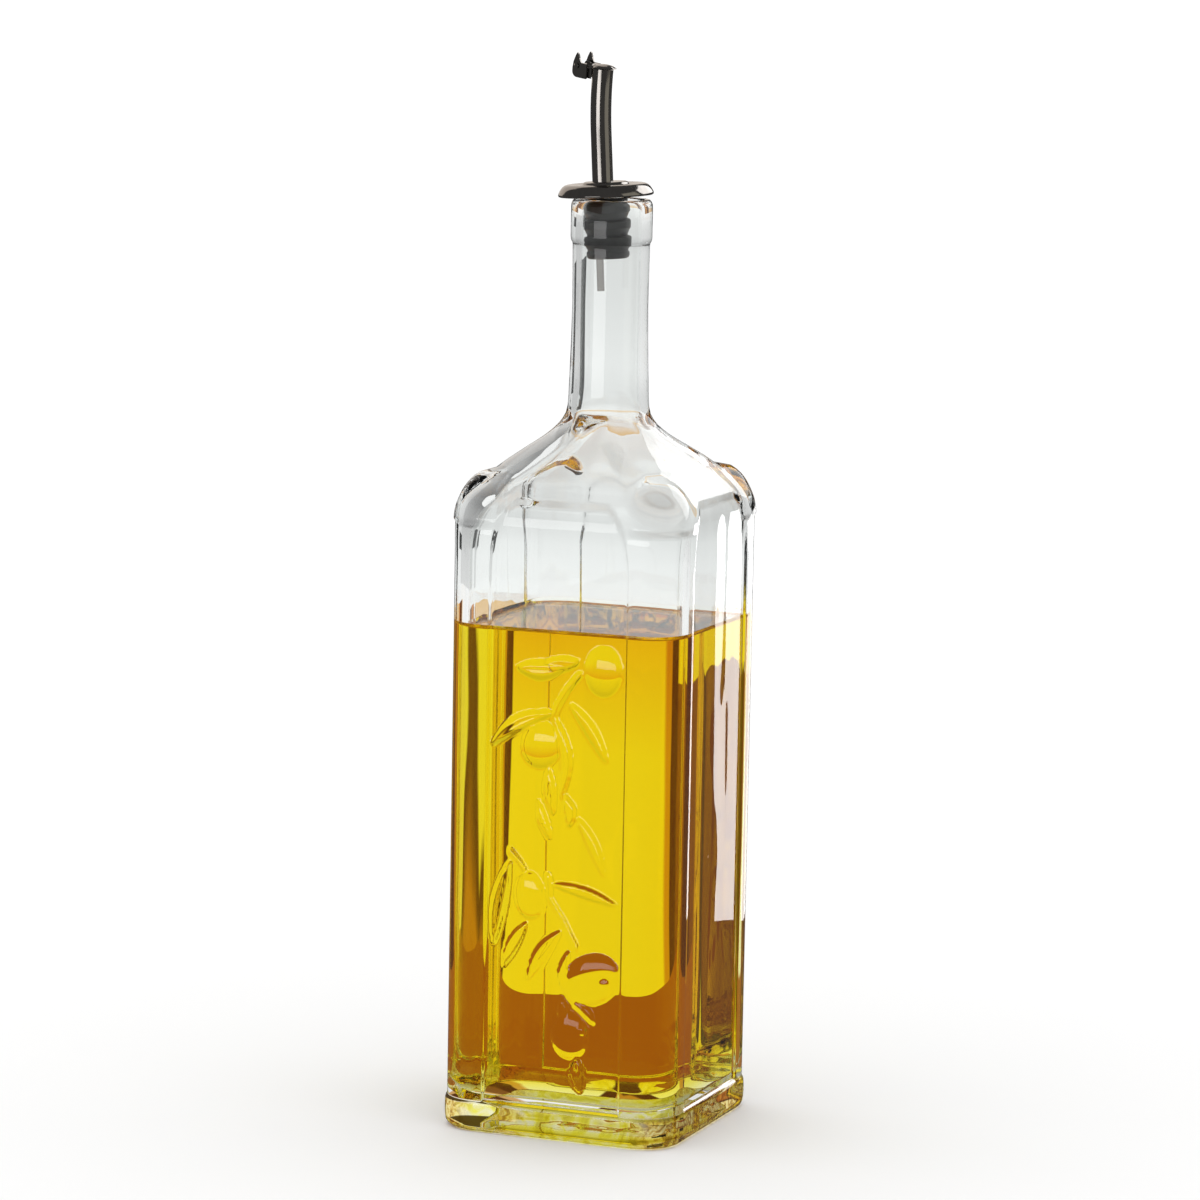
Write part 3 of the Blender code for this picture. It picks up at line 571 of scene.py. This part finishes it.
# materials
def noiseFac(tree, scale, detail, distortion=0.0, stretch=None):
    # noise in the piece's own coordinates, drawn out along its height where stretch is given
    place = addNode(tree, "ShaderNodeTexCoord").outputs["Object"]
    if stretch:
        mapping = addNode(tree, "ShaderNodeMapping", {"Scale": (1.0, 1.0, stretch)}, {"Vector": place})
        place = mapping.outputs["Vector"]
    settings = {"Scale": scale, "Detail": detail, "Distortion": distortion}
    return addNode(tree, "ShaderNodeTexNoise", settings, {"Vector": place}).outputs["Fac"]


def clearGlass():
    # pressed soda-lime glass, fire polished: clear and colourless, with faint long ripples from the mould
    material, tree, shader = newMaterial("pressed soda-lime glass")
    shader.inputs["Transmission Weight"].default_value = 1.0
    shader.inputs["Roughness"].default_value = 0.0
    # a tint stands in for the oil's light in the thick foot: lime in the middle, amber at the corners and right
    spot = addNode(tree, "ShaderNodeTexCoord")
    axes = addNode(tree, "ShaderNodeSeparateXYZ", None, {"Vector": spot.outputs["Object"]})
    sides = [addNode(tree, "ShaderNodeMath", {"operation": "ABSOLUTE"}, {0: axes.outputs[axis]}) for axis in "XY"]
    corner = addNode(tree, "ShaderNodeMath", {"operation": "MINIMUM"}, {0: sides[0].outputs[0], 1: sides[1].outputs[0]})
    corner = addNode(tree, "ShaderNodeMapRange", {"From Min": 0.026, "From Max": 0.034}, {"Value": corner.outputs[0]})
    right = addNode(tree, "ShaderNodeMapRange", {"From Min": 0.036, "From Max": 0.0395}, {"Value": axes.outputs["X"]})
    dark = addNode(tree, "ShaderNodeMath", {"operation": "MAXIMUM"},
                   {0: corner.outputs["Result"], 1: right.outputs["Result"]})
    patches, facets = noiseFac(tree, 130.0, 3.0, 1.2), noiseFac(tree, 330.0, 3.0, 1.5)
    lime = rampNode(tree, patches, [(0.34, "#c4ae14"), (0.46, "#efe324"), (0.6, "#f6f1a4")])
    amber = rampNode(tree, facets, [(0.4, "#8a5410"), (0.5, "#dca428"), (0.6, "#ffe26a")])
    glow = mixColors(tree, dark.outputs[0], lime.outputs["Color"], amber.outputs["Color"])
    foot = addNode(tree, "ShaderNodeMapRange", {"From Min": 0.0115, "From Max": 0.0092}, {"Value": axes.outputs["Z"]})
    tint = mixColors(tree, foot.outputs["Result"], hexColor("#fcfefd"), glow)
    tree.links.new(tint, shader.inputs["Base Color"])
    wet = addNode(tree, "ShaderNodeAttribute", {"attribute_name": "wetted"})
    bend = addNode(tree, "ShaderNodeMapRange", {"To Min": 1.5, "To Max": 1.0}, {"Value": wet.outputs["Fac"]})
    tree.links.new(bend.outputs["Result"], shader.inputs["IOR"])
    ripple = noiseFac(tree, 70.0, 1.0, stretch=0.22)
    bump = addNode(tree, "ShaderNodeBump", {"Strength": 0.12, "Distance": 0.002}, {"Height": ripple})
    tree.links.new(bump.outputs["Normal"], shader.inputs["Normal"])
    volume = addNode(tree, "ShaderNodeVolumeAbsorption", {"Color": hexColor("#e2e3e4"), "Density": 6.0})
    tree.links.new(volume.outputs["Volume"], tree.nodes["Material Output"].inputs["Volume"])
    return material


def oliveOil():
    # filtered olive oil: yellow across the bottle's width, amber along its length
    material, tree, shader = newMaterial("golden olive oil")
    shader.inputs["Base Color"].default_value = hexColor("#ffffff")
    shader.inputs["Transmission Weight"].default_value = 1.0
    shader.inputs["Roughness"].default_value = 0.0
    # against air at the top, against glass everywhere else
    top = addNode(tree, "ShaderNodeAttribute", {"attribute_name": "openTop"})
    bend = addNode(tree, "ShaderNodeMapRange", {"To Min": 1.47 / 1.5, "To Max": 1.47}, {"Value": top.outputs["Fac"]})
    tree.links.new(bend.outputs["Result"], shader.inputs["IOR"])
    volume = addNode(tree, "ShaderNodeVolumeAbsorption", {"Color": (0.985, 0.925, 0.03, 1.0), "Density": 75.0})
    tree.links.new(volume.outputs["Volume"], tree.nodes["Material Output"].inputs["Volume"])
    return material


def polishedSteel():
    # stainless steel, drawn and polished: mirror dark in a dark room, with faint lengthwise drawing lines
    material, tree, shader = newMaterial("polished stainless steel")
    shader.inputs["Metallic"].default_value = 1.0
    lines = noiseFac(tree, 900.0, 3.0, stretch=0.05)
    tone = rampNode(tree, lines, [(0.0, "#8f8b87"), (1.0, "#a8a39e")])
    tree.links.new(tone.outputs["Color"], shader.inputs["Base Color"])
    gloss = addNode(tree, "ShaderNodeMapRange", {"To Min": 0.06, "To Max": 0.16}, {"Value": lines})
    tree.links.new(gloss.outputs["Result"], shader.inputs["Roughness"])
    return material


def blackRubber():
    # moulded rubber: near black with a soft satin sheen
    material, tree, shader = newMaterial("black moulded rubber")
    grain = noiseFac(tree, 1500.0, 2.0)
    tone = rampNode(tree, grain, [(0.0, "#131313"), (1.0, "#242424")])
    tree.links.new(tone.outputs["Color"], shader.inputs["Base Color"])
    shader.inputs["Roughness"].default_value = 0.42
    bump = addNode(tree, "ShaderNodeBump", {"Strength": 0.2, "Distance": 0.0001}, {"Height": grain})
    tree.links.new(bump.outputs["Normal"], shader.inputs["Normal"])
    return material


steel = polishedSteel()
rubber = blackRubber()
setMaterial(glassBottle, clearGlass())
setMaterial(oilFill, oliveOil())
for nodeName in ("hinge_bracket", "hinge_pin", "flap"):
    setMaterial(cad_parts[nodeName], steel)
for nodeName, piece in pourerPieces.items():
    setMaterial(piece, rubber if nodeName == "stopper" else steel)
print("materials done")


# the stage: floor, cards, lights and camera
stage = {
    "floorSize": 12.0,
    "worldLight": 1.12,
    "glassLight": 1.0,  # as seen through the glass
    "mirrorLight": 0.09,  # as mirrored on steel and glass
    "cameraAngle": 21.7,  # degrees round from the front
    "cameraAway": 1.58667,
    "cameraUp": 0.39166,
    "aimAcross": -0.001548,
    "aimUp": 0.17028,
    "roll": 1.055,
    "lens": 148.545,
    "ringSoft": 0.6,  # degrees over which one card in a ring turns into the next, halved
    "wallRadius": 1.3,
    "wallHeight": 1.0,
    "wallRise": [(0.0, 0.97), (1.0, 0.3), (0.1, 0.87), (0.2, 0.79), (0.35, 0.74), (0.6, 0.55)],
    "farTint": "#f2cc94",  # the floor's cards are warmer towards their far end, behind the bottle only
    "farFrom": 0.72,
    "farTo": 1.2,
    "farMiddle": -160,
    "farSpread": 42,
    "strongAngle": 158.3,
}


def floorMaterial():
    material, tree, shader = newMaterial("pale floor")
    shader.inputs["Base Color"].default_value = hexColor("#f6f6f6")
    shader.inputs["Roughness"].default_value = 1.0
    shader.inputs["Specular IOR Level"].default_value = 0.0
    return material


def stagePlane(name, centre, size, facing, material):
    # facing is the direction that its flat side looks
    deselectAll()
    bpy.ops.mesh.primitive_plane_add(size=1.0)
    item = bpy.context.object
    item.name = name
    turn = Vector(facing).to_track_quat("Z", "Y").to_matrix().to_4x4()
    spread = Matrix.Diagonal((size[0], size[1], 1.0, 1.0))
    item.data.transform(Matrix.Translation(Vector(centre)) @ turn @ spread)
    setMaterial(item, material)
    return item


def seenOnlyBy(item, kind):
    # cards aren't in the picture: one kind of ray meets them, "glossy" or "transmission"
    item.visible_camera = False
    item.visible_diffuse = False
    item.visible_shadow = False
    item.visible_glossy = kind == "glossy"
    item.visible_transmission = kind == "transmission"


def buildCamera():
    swing = math.radians(stage["cameraAngle"])
    spot = Vector((math.sin(swing), -math.cos(swing), 0.0)) * stage["cameraAway"] + Vector((0, 0, stage["cameraUp"]))
    aim = Vector((math.cos(swing), math.sin(swing), 0.0)) * stage["aimAcross"] + Vector((0, 0, stage["aimUp"]))
    ahead = (aim - spot).normalized()
    right = ahead.cross(Vector((0, 0, 1))).normalized()
    up = right.cross(ahead)
    roll = math.radians(stage["roll"])
    right, up = right * math.cos(roll) + up * math.sin(roll), up * math.cos(roll) - right * math.sin(roll)
    data = bpy.data.cameras.new("camera")
    data.lens = stage["lens"]
    data.sensor_width = 36.0
    data.clip_end = 50.0
    item = bpy.data.objects.new("camera", data)
    bpy.context.scene.collection.objects.link(item)
    item.matrix_world = Matrix.Translation(spot) @ Matrix((right, up, -ahead)).transposed().to_4x4()
    bpy.context.scene.camera = item


def glowMaterial(name, color, strength):
    material, tree, shader = newMaterial(name)
    shader.inputs["Base Color"].default_value = (0.0, 0.0, 0.0, 1.0)
    shader.inputs["Specular IOR Level"].default_value = 0.0
    shader.inputs["Emission Color"].default_value = hexColor(color)
    shader.inputs["Emission Strength"].default_value = strength
    material.cycles.emission_sampling = "NONE"  # only mirrored or bent light meets the cards
    return material


def ringMaterial(name, room, rise=None, warmFar=False):
    # cards that stand in a ring, as colours by the direction round the bottle, and for a wall by height too
    material = glowMaterial(name, "#ffffff", 1.0)
    tree = material.node_tree
    shader = tree.nodes["Principled BSDF"]
    place = addNode(tree, "ShaderNodeTexCoord")
    axes = addNode(tree, "ShaderNodeSeparateXYZ", None, {"Vector": place.outputs["Object"]})
    minusY = addNode(tree, "ShaderNodeMath", {"operation": "MULTIPLY", 1: -1.0}, {0: axes.outputs["Y"]})
    turn = addNode(tree, "ShaderNodeMath", {"operation": "ARCTAN2"}, {0: axes.outputs["X"], 1: minusY.outputs[0]})
    share = addNode(tree, "ShaderNodeMapRange", {"From Min": -math.pi, "From Max": math.pi}, {"Value": turn.outputs[0]})
    ramp = addNode(tree, "ShaderNodeValToRGB", None, {"Fac": share.outputs["Result"]})
    ring = ramp.color_ramp
    while len(ring.elements) > 1:
        ring.elements.remove(ring.elements[-1])
    stops = []
    for start, end, color in room:
        stops += [(start + stage["ringSoft"], color), (end - stage["ringSoft"], color)]
    for angle, color in sorted((((a + 180) % 360) / 360, c) for a, c in stops):
        stop = ring.elements.new(angle)
        stop.color = hexColor(color)
    ring.elements.remove(ring.elements[0])
    glow = ramp.outputs["Color"]
    if warmFar:
        away = addNode(tree, "ShaderNodeVectorMath", {"operation": "LENGTH"}, {0: place.outputs["Object"]})
        share = addNode(tree, "ShaderNodeMapRange", {"From Min": stage["farFrom"], "From Max": stage["farTo"]},
                        {"Value": away.outputs["Value"]})
        sector = {"operation": "COMPARE", 1: math.radians(stage["farMiddle"]), 2: math.radians(stage["farSpread"])}
        behind = addNode(tree, "ShaderNodeMath", sector, {0: turn.outputs[0]})
        warmth = addNode(tree, "ShaderNodeMath", {"operation": "MULTIPLY"},
                         {0: share.outputs["Result"], 1: behind.outputs[0]})
        warm = mixColors(tree, warmth.outputs[0], hexColor("#ffffff"), hexColor(stage["farTint"]))
        glow = mixColors(tree, 1.0, glow, warm, "MULTIPLY")
    tree.links.new(glow, shader.inputs["Emission Color"])
    if rise:
        height = addNode(tree, "ShaderNodeFloatCurve", None, {"Value": axes.outputs["Z"]})
        curve = height.mapping.curves[0]
        for index, spot in enumerate(rise):
            if index < 2:
                curve.points[index].location = spot
            else:
                curve.points.new(*spot)
        height.mapping.update()
        tree.links.new(height.outputs["Value"], shader.inputs["Emission Strength"])
    return material


# from, to in degrees round from the front, and what lies there on the floor; the brown and amber sectors are painted
# shadow and light, tinted by the oil
roomRing = [
    (-75, -55, "#5a4a20"), (-55, -14, "#7d5030"), (-14, 158.3, "#ffffff"), (158.3, 161.8, "#6e4a20"),
    (161.8, 170, "#c88f50"), (170, 182, "#5e3512"), (182, 222, "#ffffff"), (222, 228.5, "#d9a868"),
    (228.5, 239, "#5e3512"), (239, 256, "#8a5a30"), (256, 266, "#e0b070"), (266, 285, "#ffffff"),
]
# the same farther off, where only the cards behind the bottle go on
roomFar = [(-121, 158.3, "#ffffff")] + [sector for sector in roomRing if 158 < sector[0] < 239]
# the same for the wall that stands behind the floor
roomWall = [
    (-60, 60, "#e6e6e6"), (60, 100, "#f2f2f2"), (100, 106, "#c8c8c8"), (106, 122, "#505050"),
    (122, 228, "#ffffff"), (228, 279, "#e2e2e2"), (279, 286, "#5a5a5a"), (286, 300, "#c0c0c0"),
]
# single cards: degrees round from the front, how far away, height, size, material, colour, strength, seen by
cards = {
    "softboxFront": (-11, 1.5, 0.11, (1.0, 0.22), "softbox", "#ffffff", 2.6, "glossy"),
    "softboxRight": (87, 0.8, 0.6, (0.7, 0.9), "dim softbox", "#f4f1e2", 0.5, "glossy"),
    "softboxHigh": (150, 0.9, 0.8, (0.95, 0.8), "high softbox", "#ffffff", 2.6, "glossy"),
    "cardBack": (222, 1.2, 0.95, (1.3, 1.3), "grey card behind", "#cfc6bd", 1.25, "glossy"),
    "cardNeck": (224, 1.25, 0.14, (0.36, 0.14), "dark card", "#1c1c1c", 1.0, "transmission"),
}


buildCamera()
floor = stagePlane("floor", (0, 0, 0), (stage["floorSize"], stage["floorSize"]), (0, 0, 1), floorMaterial())
# light that glass mirrors or bends meets the cards instead of the floor
floor.visible_glossy = False
floor.visible_transmission = False
for name, (angle, away, centreUp, size, kind, color, strength, seenBy) in cards.items():
    swing = math.radians(angle)
    spot = Vector((math.sin(swing) * away, -math.cos(swing) * away, centreUp))
    card = stagePlane(name, spot, size, (-spot.x, -spot.y, 0.0), glowMaterial(kind, color, strength))
    seenOnlyBy(card, seenBy)
# a small strong one close behind, a little to one side
swing = math.radians(stage["strongAngle"])
outward = Vector((math.sin(swing), -math.cos(swing), 0))
side = Vector((-math.cos(swing), -math.sin(swing), 0))
softboxBack = stagePlane("softboxBack", outward * 0.25 - side * 0.02 + Vector((0, 0, 0.1025)), (0.1, 0.165), -outward,
                         glowMaterial("strong softbox", "#ffffff", 3.4))
seenOnlyBy(softboxBack, "glossy")

# glowing cards on the floor, seen only through the glass, carry the painted oil-tinted shadow and light
for fanName, radius, lift, room in (("nearCards", 0.93, 0.0004, roomRing), ("farCards", 1.2, 0.0002, roomFar)):
    deselectAll()
    bpy.ops.mesh.primitive_circle_add(vertices=96, radius=radius, fill_type="NGON", location=(0, 0, 0))
    fan = bpy.context.object
    fan.name = fanName
    fan.data.transform(Matrix.Translation((0, 0, lift)))
    setMaterial(fan, ringMaterial("floor cards with painted oil shadow", room, warmFar=True))
    seenOnlyBy(fan, "transmission")
deselectAll()
bpy.ops.mesh.primitive_cylinder_add(vertices=128, radius=stage["wallRadius"], depth=stage["wallHeight"],
                                    end_fill_type="NOTHING", location=(0, 0, 0))
wall = bpy.context.object
wall.name = "roomWall"
wall.data.transform(Matrix.Translation((0, 0, stage["wallHeight"] / 2)))
setMaterial(wall, ringMaterial("studio wall and cards", roomWall, stage["wallRise"]))
seenOnlyBy(wall, "transmission")
# painted shadow: a dim amber glowing card on the floor right behind stands in for the bottle's shadow, which only amber
# light through the oil reaches; the low oil shows it
oilShadowCard = stagePlane("oilShadowCard", (0, 0, 0), (0.4, 0.155), (0, 0, 1),
                        glowMaterial("light through oil", "#b0702a", 0.95))
behind = Matrix.Rotation(math.radians(stage["cameraAngle"]), 4, "Z") @ Matrix.Translation((0, 0.1245, 0.0006))
oilShadowCard.data.transform(behind)
seenOnlyBy(oilShadowCard, "transmission")

world = bpy.data.worlds.new("studio")
bpy.context.scene.world = world
world.use_nodes = True
worldTree = world.node_tree
worldGlow = worldTree.nodes["Background"]
worldGlow.inputs["Color"].default_value = (1.0, 1.0, 1.0, 1.0)
# the room is dark to reflections and white to everything else
rays = addNode(worldTree, "ShaderNodeLightPath")
bent = rays.outputs["Is Transmission Ray"]
straight = addNode(worldTree, "ShaderNodeMath", {"operation": "SUBTRACT", 0: 1.0}, {1: bent})
mirror = addNode(worldTree, "ShaderNodeMath", {"operation": "MULTIPLY"},
                 {0: rays.outputs["Is Glossy Ray"], 1: straight.outputs[0]})
through = addNode(worldTree, "ShaderNodeMapRange", {"To Min": stage["worldLight"], "To Max": stage["glassLight"]},
                  {"Value": bent})
power = addNode(worldTree, "ShaderNodeMix", {"B": stage["mirrorLight"]},
                {"Factor": mirror.outputs[0], "A": through.outputs["Result"]})
worldTree.links.new(power.outputs["Result"], worldGlow.inputs["Strength"])

scene = bpy.context.scene
scene.view_settings.view_transform = "Standard"
scene.cycles.use_denoising = True
scene.cycles.max_bounces = 32
scene.cycles.transmission_bounces = 28
scene.cycles.glossy_bounces = 12
scene.cycles.transparent_max_bounces = 32
scene.cycles.volume_bounces = 0
scene.cycles.caustics_reflective = True
scene.cycles.caustics_refractive = True
scene.cycles.sample_clamp_indirect = 8.0
print("stage done")
